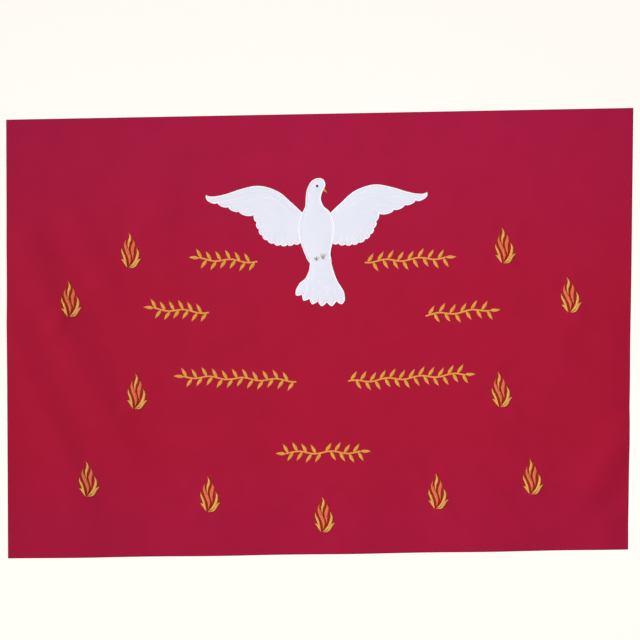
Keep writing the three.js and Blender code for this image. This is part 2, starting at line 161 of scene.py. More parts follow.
def face_y(across, up):
    """The cloth's front in millimetres along Y, at a place across and up from the middle of the top edge."""
    down = -up
    rise = BELLY * np.cos(np.pi * across / WIDTH) * np.sin(np.pi * BELLY_SHARE * down / DROP)
    edge_wave = EDGE_WAVE * np.sin(2 * np.pi * EDGE_WAVES * across / WIDTH)
    rise = rise + edge_wave * (down / DROP) ** EDGE_WAVE_POWER
    for fold in MAIN_FOLDS + SOFT_CREASES:
        rise = rise + fold_rise(across, down, *fold)
    rise = rise + pucker_rise(across, down)
    return -CLOTH / 2 - rise * ease(down, FLAT_TOP, FLAT_TOP + SETTLE)


def on_face(across, up, height):
    """Points in millimetres that stand height in front of the cloth's face."""
    return np.stack([across + LEAN * up, face_y(across, up) - height, up], axis=-1)


def on_back(across, up, height):
    """Points in millimetres that stand height behind the cloth's back."""
    return np.stack([across + LEAN * up, face_y(across, up) + CLOTH + height, up], axis=-1)


def make_object(name, points, faces=(), edges=()):
    """A mesh object at the origin from points in millimetres, smoothly shaded."""
    mesh = bpy.data.meshes.new(name)
    mesh.from_pydata((np.asarray(points) * MM).tolist(), list(edges), list(faces))
    mesh.shade_smooth()
    mesh.update()
    made = bpy.data.objects.new(name, mesh)
    bpy.context.scene.collection.objects.link(made)
    return made


def grid_lines(start, length):
    """Lines of the cloth's grid: the rounded edges, the hems and even steps between."""
    inner = length - 2 * (HEM + HEM_STEP)
    between = np.linspace(0, inner, round(inner / WEAVE_GRID) + 1) + HEM + HEM_STEP
    hem = np.array([0, EDGE_ROUND, EDGE_BAND, HEM / 3, 2 * HEM / 3, HEM])
    return start + np.concatenate([hem, between, length - hem[::-1]])


def cloth_mesh():
    """The cloth's points and faces, and a value that is one in the turn of its edge."""
    columns = grid_lines(-WIDTH / 2, WIDTH)
    rows = grid_lines(0, DROP)
    across, down = np.meshgrid(columns, rows)
    edge_distance = np.minimum(WIDTH / 2 - np.abs(across), np.minimum(down, DROP - down))
    tuck = np.where(edge_distance < EDGE_ROUND / 2, EDGE_ROUND, 0)
    extra = np.where(edge_distance < HEM + HEM_STEP / 2, CLOTH, 0)
    front = on_face(across, -down, -tuck)
    back = on_back(across, -down, extra - tuck)
    points = np.concatenate([front.reshape(-1, 3), back.reshape(-1, 3)])
    wide = len(columns)
    high = len(rows)
    corner = (np.arange(high - 1)[:, None] * wide + np.arange(wide - 1)).ravel()
    sheet_faces = np.stack([corner, corner + wide, corner + wide + 1, corner + 1], axis=1)
    back_faces = sheet_faces[:, ::-1] + wide * high
    rim = np.concatenate([
        np.arange(wide - 1),
        np.arange(high - 1) * wide + wide - 1,
        np.arange(wide * high - 1, wide * (high - 1), -1),
        np.arange(high - 1, 0, -1) * wide,
    ])
    following = np.roll(rim, -1)
    walls = np.stack([rim, following, following + wide * high, rim + wide * high], axis=1)
    turn = np.tile((edge_distance < EDGE_BAND - EDGE_ROUND).ravel(), 2)
    return points, np.concatenate([sheet_faces, back_faces, walls]).tolist(), turn.astype(float)


cloth_points, cloth_faces, edge_turn = cloth_mesh()
cloth = make_object("cloth_sheet", cloth_points, cloth_faces)
cloth.data.attributes.new("edge_turn", "FLOAT", "POINT").data.foreach_set("value", edge_turn)


def srgb(red, green, blue):
    """A colour given in the 0 to 255 scale of a screen, as the linear colour that a shader takes."""
    parts = np.array([red, green, blue]) / 255
    linear = np.where(parts <= 0.04045, parts / 12.92, ((parts + 0.055) / 1.055) ** 2.4)
    return (*linear.tolist(), 1.0)


def start_material(name):
    """A new material with its node tree, its shader and the Object coordinates."""
    material = bpy.data.materials.new(name)
    material.use_nodes = True
    tree = material.node_tree
    place = tree.nodes.new("ShaderNodeTexCoord")
    return material, tree, tree.nodes["Principled BSDF"], place.outputs["Object"]


def add_noise(tree, place, scale, detail):
    """Cloudy noise of the given scale, with that many finer layers."""
    noise = tree.nodes.new("ShaderNodeTexNoise")
    noise.inputs["Scale"].default_value = scale
    noise.inputs["Detail"].default_value = detail
    tree.links.new(place, noise.inputs["Vector"])
    return noise.outputs["Fac"]


# A wave texture of scale 1 turns by 20 radians in each metre.
WAVE_TURN = 20


def add_ribs(tree, place, direction, pitch, distortion):
    """Parallel ribs across the given axis, one every pitch millimetres."""
    wave = tree.nodes.new("ShaderNodeTexWave")
    wave.bands_direction = direction
    wave.inputs["Scale"].default_value = 2 * math.pi / (WAVE_TURN * pitch * MM)
    wave.inputs["Distortion"].default_value = distortion
    tree.links.new(place, wave.inputs["Vector"])
    return wave.outputs["Fac"]


def add_math(tree, operation, *values):
    """A calculation on values that are numbers or sockets."""
    node = tree.nodes.new("ShaderNodeMath")
    node.operation = operation
    for socket, value in zip(node.inputs, values):
        if isinstance(value, (int, float)):
            socket.default_value = value
        else:
            tree.links.new(value, socket)
    return node.outputs[0]


def add_blend(tree, share, low, high):
    """A colour between low and high, by share. Inputs 6 and 7 and output 2 are the node's colours."""
    ramp = tree.nodes.new("ShaderNodeMix")
    ramp.data_type = "RGBA"
    tree.links.new(share, ramp.inputs["Factor"])
    ramp.inputs[6].default_value = low
    ramp.inputs[7].default_value = high
    return ramp.outputs[2]


def add_relief(tree, shader, height, depth, strength):
    """Bump of the given depth in millimetres."""
    bump = tree.nodes.new("ShaderNodeBump")
    bump.inputs["Distance"].default_value = depth * MM
    bump.inputs["Strength"].default_value = strength
    tree.links.new(height, bump.inputs["Height"])
    tree.links.new(bump.outputs["Normal"], shader.inputs["Normal"])


# The colour is painted a little more violet toward the top and the bottom edge, as a painted sheen: where
# this starts, where it is full, and how strong it is there. The dye is cloudy and mottled, and the turn of
# the edge is painted darker, as painted shade.
CRIMSON = srgb(171, 10, 48)
VIOLET_CRIMSON = srgb(168, 14, 62)
SHEEN_PINK = srgb(225, 90, 150)
PAINTED_SHEEN_BANDS = ((-420, 0, 0.75), (-640, -904, 0.5))
CLOUD_SCALE = 3.5
CLOUD_SHARE = 0.3
MOTTLE_SCALE = 16
MOTTLE = 0.12
EDGE_SHADE = 0.22
WARP_PITCH = 0.55
WEFT_PITCH = 0.6
WEAVE_WAVER = 0.4
SLUB_SCALE = 900
SLUB_SHARE = 0.6
WEAVE_DEPTH = 0.05
WEAVE_STRENGTH = 0.6


def crimson_weave():
    material, tree, shader, place = start_material("crimson_weave")
    cloud = add_noise(tree, place, CLOUD_SCALE, 4.0)
    apart = tree.nodes.new("ShaderNodeSeparateXYZ")
    tree.links.new(place, apart.inputs["Vector"])
    violet = add_math(tree, "MULTIPLY", cloud, CLOUD_SHARE)
    # Painted sheen: bands where the colour drifts toward violet near the top and the bottom edge.
    for begin, full, strength in PAINTED_SHEEN_BANDS:
        band = tree.nodes.new("ShaderNodeMapRange")
        band.interpolation_type = "SMOOTHSTEP"
        band.inputs["From Min"].default_value = begin * MM
        band.inputs["From Max"].default_value = full * MM
        band.inputs["To Max"].default_value = strength
        tree.links.new(apart.outputs["Z"], band.inputs["Value"])
        violet = add_math(tree, "ADD", violet, band.outputs["Result"])
    dyed = add_blend(tree, violet, CRIMSON, VIOLET_CRIMSON)
    mottle = tree.nodes.new("ShaderNodeHueSaturation")
    spots = add_noise(tree, place, MOTTLE_SCALE, 2.0)
    shade = add_math(tree, "MULTIPLY_ADD", spots, MOTTLE, 1 - MOTTLE / 2)
    # Painted shade: the turn of the cloth's edge is painted darker.
    turn = tree.nodes.new("ShaderNodeAttribute")
    turn.attribute_name = "edge_turn"
    painted_edge_shade = add_math(tree, "MULTIPLY_ADD", turn.outputs["Fac"], -EDGE_SHADE, 1)
    tree.links.new(add_math(tree, "MULTIPLY", shade, painted_edge_shade), mottle.inputs["Value"])
    tree.links.new(dyed, mottle.inputs["Color"])
    tree.links.new(mottle.outputs["Color"], shader.inputs["Base Color"])
    warp = add_ribs(tree, place, "X", WARP_PITCH, WEAVE_WAVER)
    weft = add_ribs(tree, place, "Z", WEFT_PITCH, WEAVE_WAVER)
    threads = add_math(tree, "MAXIMUM", warp, weft)
    slub = add_math(tree, "MULTIPLY", add_noise(tree, place, SLUB_SCALE, 2.0), SLUB_SHARE)
    relief = add_math(tree, "ADD", threads, slub)
    add_relief(tree, shader, relief, WEAVE_DEPTH, WEAVE_STRENGTH)
    shader.inputs["Roughness"].default_value = 0.75
    shader.inputs["Specular IOR Level"].default_value = 0.15
    shader.inputs["Sheen Weight"].default_value = 0.04
    shader.inputs["Sheen Roughness"].default_value = 0.4
    shader.inputs["Sheen Tint"].default_value = SHEEN_PINK
    return material


cloth.data.materials.append(crimson_weave())
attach(cloth, "root")
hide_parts("banner_cloth")
sewn_on = []

# Hem stitching
# A line of crimson thread holds the turned hem down, close to its inner edge, on all four sides. It is a
# blind stitch: long on the back, and only tiny picks on the front.
HEM_LINE = 17
HEM_BACK_LENGTH = 2.5
HEM_FRONT_LENGTH = 0.9
HEM_BACK = {"pitch": 3.4, "radius": 0.3, "crown": 0.15, "slant": 90, "unevenness": 0.03}
HEM_FRONT = {"pitch": 6.8, "radius": 0.18, "crown": 0.05, "slant": 90, "unevenness": 0.03}

# Every stitch is a low arch of few parts and few sides. Its ends sink by a share of the thread's radius, and
# its length varies by a share of the unevenness.
ARCH_PARTS = 3
THREAD_SIDES = 4
END_DEPTH = 0.6
LENGTH_SPREAD = 0.6


def stitch_tree():
    """Lays a thread across each guide line at every pitch. A guide's points have a width and a facing."""
    tree = bpy.data.node_groups.new("stitches", "GeometryNodeTree")
    sockets = (
        ("Guides", "Geometry"), ("Pitch", "Float"), ("Thread radius", "Float"), ("Crown", "Float"),
        ("Slant", "Float"), ("Unevenness", "Float"), ("Seed", "Int"), ("Thread", "Material"),
    )
    for name, kind in sockets:
        tree.interface.new_socket(name, in_out="INPUT", socket_type="NodeSocket" + kind)
    tree.interface.new_socket("Stitches", in_out="OUTPUT", socket_type="NodeSocketGeometry")
    add = tree.nodes.new
    link = tree.links.new
    given = add("NodeGroupInput").outputs

    def calculate(operation, *values):
        return add_math(tree, operation, *values)

    def corner(x, z):
        node = add("ShaderNodeCombineXYZ")
        node.inputs["X"].default_value = x
        link(z, node.inputs["Z"])
        return node.outputs[0]

    def attribute(name, kind):
        node = add("GeometryNodeInputNamedAttribute")
        node.data_type = kind
        node.inputs["Name"].default_value = name
        return node.outputs["Attribute"]

    def chance(low, high):
        """A random number. Inputs 2 and 3 and output 1 are the node's single numbers."""
        node = add("FunctionNodeRandomValue")
        link(low, node.inputs[2])
        link(high, node.inputs[3])
        link(given["Seed"], node.inputs["Seed"])
        return node.outputs[1]

    lines = add("GeometryNodeMeshToCurve")
    link(given["Guides"], lines.inputs["Mesh"])
    points = add("GeometryNodeCurveToPoints")
    points.mode = "LENGTH"
    link(lines.outputs["Curve"], points.inputs["Curve"])
    link(given["Pitch"], points.inputs["Length"])

    along = add("FunctionNodeAlignRotationToVector")
    along.axis = "Y"
    link(points.outputs["Tangent"], along.inputs["Vector"])
    outward = add("FunctionNodeAlignRotationToVector")
    outward.axis = "Z"
    outward.pivot_axis = "Y"
    link(along.outputs["Rotation"], outward.inputs["Rotation"])
    link(attribute("facing", "FLOAT_VECTOR"), outward.inputs["Vector"])
    tilt = add("FunctionNodeAxisAngleToRotation")
    tilt.inputs["Axis"].default_value = (0, 0, 1)
    wobble = chance(calculate("MULTIPLY", given["Unevenness"], -1.0), given["Unevenness"])
    link(calculate("ADD", given["Slant"], wobble), tilt.inputs["Angle"])
    turned = add("FunctionNodeRotateRotation")
    turned.rotation_space = "LOCAL"
    link(outward.outputs["Rotation"], turned.inputs["Rotation"])
    link(tilt.outputs["Rotation"], turned.inputs["Rotate By"])

    arch = add("GeometryNodeCurveQuadraticBezier")
    arch.inputs["Resolution"].default_value = ARCH_PARTS
    sunk = calculate("MULTIPLY", given["Thread radius"], -END_DEPTH)
    link(corner(-0.5, sunk), arch.inputs["Start"])
    link(corner(0.0, calculate("MULTIPLY", given["Crown"], 2.0)), arch.inputs["Middle"])
    link(corner(0.5, sunk), arch.inputs["End"])
    section = add("GeometryNodeCurvePrimitiveCircle")
    section.inputs["Resolution"].default_value = THREAD_SIDES
    link(given["Thread radius"], section.inputs["Radius"])
    thread = add("GeometryNodeCurveToMesh")
    link(arch.outputs["Curve"], thread.inputs["Curve"])
    link(section.outputs["Curve"], thread.inputs["Profile Curve"])
    thread.inputs["Fill Caps"].default_value = True
    smooth_thread = add("GeometryNodeSetShadeSmooth")
    link(thread.outputs["Mesh"], smooth_thread.inputs["Geometry"])

    shortest = calculate("MULTIPLY_ADD", given["Unevenness"], -LENGTH_SPREAD, 1.0)
    longest = calculate("MULTIPLY_ADD", given["Unevenness"], LENGTH_SPREAD, 1.0)
    width = calculate("MULTIPLY", attribute("width", "FLOAT"), chance(shortest, longest))
    size = add("ShaderNodeCombineXYZ")
    size.inputs["Y"].default_value = 1
    size.inputs["Z"].default_value = 1
    link(width, size.inputs["X"])
    placed = add("GeometryNodeInstanceOnPoints")
    link(points.outputs["Points"], placed.inputs["Points"])
    link(smooth_thread.outputs["Geometry"], placed.inputs["Instance"])
    link(turned.outputs["Rotation"], placed.inputs["Rotation"])
    link(size.outputs[0], placed.inputs["Scale"])
    real = add("GeometryNodeRealizeInstances")
    link(placed.outputs["Instances"], real.inputs["Geometry"])
    finish = add("GeometryNodeSetMaterial")
    link(real.outputs["Geometry"], finish.inputs["Geometry"])
    link(given["Thread"], finish.inputs["Material"])
    link(finish.outputs["Geometry"], add("NodeGroupOutput").inputs["Stitches"])
    return tree


STITCHES = stitch_tree()
STITCH_INPUTS = {
    item.name: item.identifier for item in STITCHES.interface.items_tree if item.in_out == "INPUT"
}
SLOPE_STEP = 2


def guide(line, widths, lift=0.0, behind=False):
    """A guide line on the cloth, from the across and up of its points, its widths and its height."""
    line = np.asarray(line, float)
    across, up = line.T
    surface = on_back if behind else on_face
    side = -1 if behind else 1
    slope_x = (face_y(across + SLOPE_STEP, up) - face_y(across - SLOPE_STEP, up)) / (2 * SLOPE_STEP)
    slope_z = (face_y(across, up + SLOPE_STEP) - face_y(across, up - SLOPE_STEP)) / (2 * SLOPE_STEP)
    facing = side * np.stack([slope_x, -np.ones(len(across)), slope_z], axis=1)
    return {
        "points": surface(across, up, np.broadcast_to(lift, across.shape)),
        "widths": np.broadcast_to(widths, across.shape),
        "facing": facing,
    }


def sew(name, guides, thread, pitch, radius, crown, slant=0.0, unevenness=0.05, seed=1):
    """A plain mesh of stitches along the guides. Sizes are in millimetres and slant is in degrees."""
    edges = []
    start = 0
    for row in guides:
        count = len(row["points"])
        edges += [(start + i, start + i + 1) for i in range(count - 1)]
        start += count
    sewn = make_object(name, np.concatenate([row["points"] for row in guides]), edges=edges)
    widths = sewn.data.attributes.new("width", "FLOAT", "POINT")
    widths.data.foreach_set("value", np.concatenate([row["widths"] for row in guides]) * MM)
    facing = sewn.data.attributes.new("facing", "FLOAT_VECTOR", "POINT")
    facing.data.foreach_set("vector", np.concatenate([row["facing"] for row in guides]).ravel())
    modifier = sewn.modifiers.new("stitches", "NODES")
    modifier.node_group = STITCHES
    values = {
        "Pitch": pitch * MM, "Thread radius": radius * MM, "Crown": crown * MM,
        "Slant": math.radians(slant), "Unevenness": unevenness, "Seed": seed, "Thread": thread,
    }
    for label, value in values.items():
        modifier[STITCH_INPUTS[label]] = value
    settled = sewn.evaluated_get(bpy.context.evaluated_depsgraph_get())
    mesh = bpy.data.meshes.new_from_object(settled)
    sewn.modifiers.clear()
    sewn.data = mesh
    return sewn


def join_pieces(name, parts):
    """One object from several, with their materials kept."""
    with bpy.context.temp_override(active_object=parts[0], selected_editable_objects=parts):
        bpy.ops.object.join()
    parts[0].name = name
    return parts[0]


PATCH_SCALE = 260
PLY_SCALE = 2600
PLY_DEPTH = 0.04
PLY_STRENGTH = 0.5


def thread_material(name, light, dark, roughness=0.42, shine=0.35):
    """Embroidery thread whose colour varies a little from stitch to stitch."""
    material, tree, shader, place = start_material(name)
    patch = add_noise(tree, place, PATCH_SCALE, 2.0)
    tree.links.new(add_blend(tree, patch, dark, light), shader.inputs["Base Color"])
    ply = add_noise(tree, place, PLY_SCALE, 1.0)
    add_relief(tree, shader, ply, PLY_DEPTH, PLY_STRENGTH)
    shader.inputs["Roughness"].default_value = roughness
    shader.inputs["Specular IOR Level"].default_value = shine
    return material


hem_thread = thread_material("hem_thread", srgb(168, 24, 56), srgb(150, 18, 48), roughness=0.6, shine=0.15)


def hem_guides(length, lift, behind):
    """The hem's four stitching lines, on the face or on the back."""
    x = WIDTH / 2 - HEM_LINE
    top = -HEM_LINE
    bottom = HEM_LINE - DROP
    corners = ((-x, top), (x, top), (x, bottom), (-x, bottom))
    guides = []
    for i, (x0, z0) in enumerate(corners):
        x1, z1 = corners[(i + 1) % len(corners)]
        t = np.linspace(0, 1, round(max(abs(x1 - x0), abs(z1 - z0)) / WEAVE_GRID) + 1)[:, None]
        line = (1 - t) * np.array([x0, z0]) + t * np.array([x1, z1])
        guides.append(guide(line, length, lift, behind=behind))
    return guides


hem_stitches = join_pieces("hem_stitches", [
    sew("hem_row", hem_guides(HEM_BACK_LENGTH, CLOTH, True), hem_thread, **HEM_BACK),
    sew("hem_row", hem_guides(HEM_FRONT_LENGTH, 0, False), hem_thread, **HEM_FRONT),
])
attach(hem_stitches, "root")
sewn_on.append(hem_stitches)

# Bird
# Four pieces of white satin lie on the cloth over a thin padding: two wings, the tail, and the body with the
# head between them. Each is cut along its feathers and is highest in its middle.
WINGS = (
    {"node": "bird_wing_left", "side": -1, "across": -32.5, "up": -201, "lift": 0.9},
    {"node": "bird_wing_right", "side": 1, "across": 24.5, "up": -202, "lift": 0.6},
)
# A wing's own drawing runs outward and up from its shoulder.
WING_LEADING = (
    (0, 0), (22, 20), (50, 43), (90, 55), (130, 47.5), (152, 40), (174, 34.5), (189, 33.5), (199.5, 36.5),
)
WING_LONG = ((198.5, 32), (174, 20.5), (152, 12), (130, 3), (98, -3))
WING_SHORT = ((98, -3), (91, -24), (84, -41), (72, -54), (55, -62), (38, -65), (20, -63), (3, -60))
WING_ROOT = ((-10, -56), (-10, -8))
WING_LEADING_STEPS = 64
# How far each feather end is rounded out, the long ones from the tip of the wing inward.
LONG_FEATHER_ROUNDS = (5.8, 4.2, 4.2, 6.2)
SHORT_FEATHERS = 9
SHORT_FEATHER_ROUND = 4
FEATHER_STEPS = 12
BODY = (
    (0, -131), (-13, -136), (-23, -152), (-26, -172), (-27, -188), (-33, -202), (-40, -224),
    (-39, -250), (-27, -286), (-17, -304), (3, -309), (27, -304), (25, -286), (31, -254),
    (33, -228), (24, -201), (10, -187), (5, -172), (9, -157), (14, -146), (10, -134),
)
BODY_STEPS = 252
TAIL_PLACE = (3.5, -290)
TAIL_FEATHERS = 6
TAIL_ANGLES = (-36, 31)
TAIL_RADII = (92, 111)
# One tail feather's end: the share of its angle, and how far the outline stands inside its radius there.
TAIL_FEATHER = (
    (0.02, 9), (0.1, 6.4), (0.22, 3), (0.34, 0.9), (0.42, 0), (0.54, 0.8), (0.75, 4), (0.9, 6.8),
)
TAIL_LEFT = ((-14, -290), (-17, -306), (-19, -320), (-27, -336), (-37, -344), (-44, -355))
TAIL_RIGHT = ((55, -376), (53, -364), (39, -340), (29, -312), (24, -290))
TAIL_SIDE_STEPS = 24
# The satin's inner points stand on a grid, clear of its outline by a share of the grid's step.
SATIN_GRID = 2.0
SATIN_CLEAR = 0.6
SATIN_EDGE = 0.5
SATIN_BASE = 0.1
# How high the padding lifts the satin, over what distance from its edge, and how far a seam sinks in it.
WING_CROWN = 0.9
WING_REACH = 6
BODY_CROWN = 1.2
BODY_REACH = 9
SEAM_DEPTH = 0.22
SEAM_WIDTH = 2.2


def smooth(points, steps, closed=False):
    """Points along a curve through the given ones. Its spans turn gently, by the roots of their lengths."""
    knots = np.array(points, float)
    spans = len(knots) if closed else len(knots) - 1
    if closed:
        padded = np.concatenate([knots[-1:], knots, knots[:2]])
    else:
        padded = np.concatenate([[2 * knots[0] - knots[1]], knots, [2 * knots[-1] - knots[-2]]])
    curve = []
    for number in range(steps if closed else steps + 1):
        place = spans * number / steps
        i = min(int(place), spans - 1)
        t = place - i
        a, b, c, d = padded[i:i + 4]
        ab, bc, cd = (max(math.dist(p, q) ** 0.5, 1e-4) for p, q in ((a, b), (b, c), (c, d)))
        leave = bc * ((b - a) / ab - (c - a) / (ab + bc) + (c - b) / bc)
        arrive = bc * ((c - b) / bc - (d - b) / (bc + cd) + (d - c) / cd)
        square = 3 * (c - b) - 2 * leave - arrive
        cube = 2 * (b - c) + leave + arrive
        curve.append(b + t * leave + t * t * square + t * t * t * cube)
    return np.array(curve)


def feathered(points, bulges):
    """Rounded feather ends along a row of points, each standing out by its bulge to the left."""
    outline = []
    for start, end, bulge in zip(points[:-1], points[1:], bulges):
        start = np.array(start, float)
        run = np.array(end, float) - start
        side = np.array([-run[1], run[0]]) / np.hypot(*run)
        for t in np.arange(FEATHER_STEPS) / FEATHER_STEPS:
            outline.append(start + t * run + bulge * math.sqrt(math.sin(math.pi * t)) * side)
    return np.array(outline)


def from_wing(wing, points):
    """Points of the wing's own drawing, placed on the banner."""
    x, y = np.asarray(points, float).T
    angle = math.radians(wing["lift"])
    outward = x * math.cos(angle) - y * math.sin(angle)
    upward = x * math.sin(angle) + y * math.cos(angle)
    return np.stack([wing["across"] + wing["side"] * outward, wing["up"] + upward], axis=1)


def wing_outline(wing):
    """A wing's outline: its leading edge, its long and its short feathers, and its root."""
    short_base = smooth(WING_SHORT, SHORT_FEATHERS)
    return from_wing(wing, np.concatenate([
        smooth(WING_LEADING, WING_LEADING_STEPS)[:-1],
        feathered(WING_LONG, LONG_FEATHER_ROUNDS),
        feathered(short_base, SHORT_FEATHERS * (SHORT_FEATHER_ROUND,)),
        np.array(WING_ROOT, float),
    ]))


def tail_point(number, share, margin):
    """A point of the fanned tail, at a share of one feather and by margin inside its end."""
    t = (number + share) / TAIL_FEATHERS
    angle = math.radians(TAIL_ANGLES[0] + t * (TAIL_ANGLES[1] - TAIL_ANGLES[0]))
    radius = TAIL_RADII[0] + t * (TAIL_RADII[1] - TAIL_RADII[0]) - margin
    return (TAIL_PLACE[0] + radius * math.sin(angle), TAIL_PLACE[1] - radius * math.cos(angle))


def tail_outline():
    """The tail's outline: its left side, its feather ends and its right side."""
    ends = [tail_point(i, share, margin) for i in range(TAIL_FEATHERS) for share, margin in TAIL_FEATHER]
    return np.concatenate([smooth(TAIL_LEFT, TAIL_SIDE_STEPS), ends, smooth(TAIL_RIGHT, TAIL_SIDE_STEPS)])


def distance_to_lines(points, starts, ends):
    """The distance of each point to the nearest of many straight stretches."""
    runs = ends - starts
    lengths = np.maximum((runs ** 2).sum(1), 1e-9)
    nearest = np.full(len(points), np.inf)
    for start, run, length in zip(starts, runs, lengths):
        offset = points - start
        t = np.clip(offset @ run / length, 0, 1)[:, None]
        nearest = np.minimum(nearest, np.hypot(*(offset - t * run).T))
    return nearest


def inside(points, outline):
    """Which of the points lie within the closed outline."""
    x, y = points.T
    within = np.zeros(len(points), bool)
    for (x0, y0), (x1, y1) in zip(outline, np.roll(outline, -1, axis=0)):
        if y0 != y1:
            crosses = (y0 > y) != (y1 > y)
            within ^= crosses & (x < (x1 - x0) * (y - y0) / (y1 - y0) + x0)
    return within


def satin_piece(name, outline, crown, reach, seams, finish):
    """A closed pad of satin with the given outline. It rises to crown over reach, and sinks at its seams."""
    low, high = outline.min(0), outline.max(0)
    grid = np.stack(np.meshgrid(
        np.arange(low[0], high[0], SATIN_GRID), np.arange(low[1], high[1], SATIN_GRID),
    ), axis=-1).reshape(-1, 2)
    grid = grid[inside(grid, outline)]
    ends = np.roll(outline, -1, axis=0)
    grid = grid[distance_to_lines(grid, outline, ends) > SATIN_CLEAR * SATIN_GRID]
    flat = np.concatenate([outline, grid])
    ring = [(i, (i + 1) % len(outline)) for i in range(len(outline))]
    keep_inside, tolerance = 1, 1e-5
    knots = [tuple(p) for p in flat]
    places, _, triangles, _, _, _ = delaunay_2d_cdt(knots, ring, [], keep_inside, tolerance)
    places = np.array([tuple(p) for p in places])
    margin = distance_to_lines(places, outline, ends)
    height = SATIN_EDGE + crown * (1 - np.exp(-margin / reach))
    for seam in seams:
        sink = SEAM_DEPTH * np.exp(-(distance_to_lines(places, seam[:-1], seam[1:]) / SEAM_WIDTH) ** 2)
        height = np.maximum(height - sink, SATIN_EDGE)
    count = len(places)
    points = np.concatenate([
        on_face(*places.T, height),
        on_face(*places.T, np.full(count, SATIN_BASE)),
    ])
    turned = []
    for a, b, c in triangles:
        (ax, ay), (bx, by), (cx, cy) = places[[a, b, c]]
        leftward = (bx - ax) * (cy - ay) - (by - ay) * (cx - ax) > 0
        turned.append((a, b, c) if leftward else (a, c, b))
    directed = {(t[i], t[(i + 1) % 3]) for t in turned for i in range(3)}
    rim = [(a, b) for a, b in directed if (b, a) not in directed]
    faces = turned + [(c + count, b + count, a + count) for a, b, c in turned]
    faces += [(b, a, a + count, b + count) for a, b in sorted(rim)]
    made = make_object(name, points, faces)
    made.data.materials.append(finish)
    return made


SATIN_SHADED = srgb(223, 226, 241)
SATIN_BRIGHT = srgb(230, 232, 246)
SATIN_CLOUD_SCALE = 30
SATIN_RIB_PITCH = 0.35
SATIN_RIB_WAVER = 0.6
CRINKLE_SCALE = 110
CRINKLE_SHARE = 3.0
SATIN_RELIEF = 0.06
SATIN_RELIEF_STRENGTH = 0.5


def white_satin():
    material, tree, shader, place = start_material("white_satin")
    cloud = add_noise(tree, place, SATIN_CLOUD_SCALE, 3.0)
    colour = add_blend(tree, cloud, SATIN_SHADED, SATIN_BRIGHT)
    tree.links.new(colour, shader.inputs["Base Color"])
    ribs = add_ribs(tree, place, "Z", SATIN_RIB_PITCH, SATIN_RIB_WAVER)
    creases = add_noise(tree, place, CRINKLE_SCALE, 3.0)
    crinkle = add_math(tree, "MULTIPLY", creases, CRINKLE_SHARE)
    relief = add_math(tree, "ADD", ribs, crinkle)
    add_relief(tree, shader, relief, SATIN_RELIEF, SATIN_RELIEF_STRENGTH)
    shader.inputs["Roughness"].default_value = 0.38
    shader.inputs["Specular IOR Level"].default_value = 0.5
    shader.inputs["Sheen Weight"].default_value = 0.1
    return material


SATIN = white_satin()

# Lines quilted on a wing, in the wing's own drawing: under the leading edge, and up from the feather ends.
WING_LINES = (
    ((12, 1), (30, 16), (55, 35), (90, 45), (128, 38.5), (164, 30)),
    ((34, 7), (58, 24), (90, 33)),
    ((174, 20.5), (150, 26), (124, 31)),
    ((152, 12), (130, 18), (106, 24)),
    ((130, 3), (110, 10), (92, 15)),
    ((98, -3), (88, 1), (76, 7)),
)
WING_LINE_STEPS = 24
# A short line runs from each notch toward the wing's shoulder for a share of the way, bent to one side.
SHORT_LINE_REACH = 0.2
SHORT_LINE_AIM = (38, 6)
SHORT_LINE_BEND = 0.06
SHORT_LINE_STEPS = 10
TAIL_LINE_MARGINS = (9, 20, 32)
TAIL_LINE_STEPS = 12
RUMP_LINE_STEPS = 8
RUMP_LINES = (
    ((1, -324), (10, -323), (19, -325)),
    ((-2, -341), (8, -339), (19, -342)),
    ((4, -354), (12, -353), (20, -354)),
)


def wing_lines(wing):
    """The lines quilted on a wing, placed on the banner."""
    lines = [smooth(line, WING_LINE_STEPS) for line in WING_LINES]
    for end in smooth(WING_SHORT, SHORT_FEATHERS)[1:-1]:
        reach = SHORT_LINE_REACH * (np.array(SHORT_LINE_AIM) - end)
        bend = end + 0.5 * reach + SHORT_LINE_BEND * np.array([-1, 1]) * reach[::-1]
        lines.append(smooth((end, bend, end + reach), SHORT_LINE_STEPS))
    return [from_wing(wing, line) for line in lines]


def tail_lines():
    """The lines quilted between the tail's feathers and across its root."""
    notch = TAIL_FEATHER[0][0]
    lines = []
    for number in range(1, TAIL_FEATHERS):
        line = [tail_point(number, notch, margin) for margin in TAIL_LINE_MARGINS]
        lines.append(smooth(line, TAIL_LINE_STEPS))
    return lines + [smooth(line, RUMP_LINE_STEPS) for line in RUMP_LINES]


body_outline = smooth(BODY, BODY_STEPS, closed=True)
bird_pieces = []
bird_lines = []
for wing in WINGS:
    lines = wing_lines(wing)
    bird_lines += lines
    piece = satin_piece(wing["node"] + "_satin", wing_outline(wing), WING_CROWN, WING_REACH, lines, SATIN)
    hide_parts(wing["node"])
    bird_pieces.append(piece)

bird_lines += tail_lines()
tail = satin_piece("bird_tail_satin", tail_outline(), WING_CROWN, WING_REACH, tail_lines(), SATIN)
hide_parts("bird_tail")
body = satin_piece("bird_body_satin", body_outline, BODY_CROWN, BODY_REACH, [], SATIN)
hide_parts("bird_body")
bird_pieces += [tail, body]
for piece in bird_pieces:
    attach(piece, "root")
sewn_on += bird_pieces

# Edge of the bird
# A close white satin stitch covers every raw edge of the satin and holds it to the cloth. Narrower lines of
# a like thread quilt the feathers.
BORDER_WIDTH = 2.4
BORDER_STITCH = {"pitch": 0.62, "radius": 0.34, "crown": 0.45, "unevenness": 0.04}
WING_LIFT = 0.6
BODY_LIFT = 1.2
HIP = -296
LINE_WIDTH = 1.5
LINE_LIFT = 0.85
LINE_STITCH = {"pitch": 0.62, "radius": 0.34, "crown": 0.4, "unevenness": 0.06, "seed": 2}

bird_thread = thread_material("white_thread", srgb(255, 255, 255), srgb(250, 250, 255), roughness=0.35)
quilting_thread = thread_material("quilting_thread", srgb(255, 255, 255), srgb(249, 250, 255), roughness=0.4)
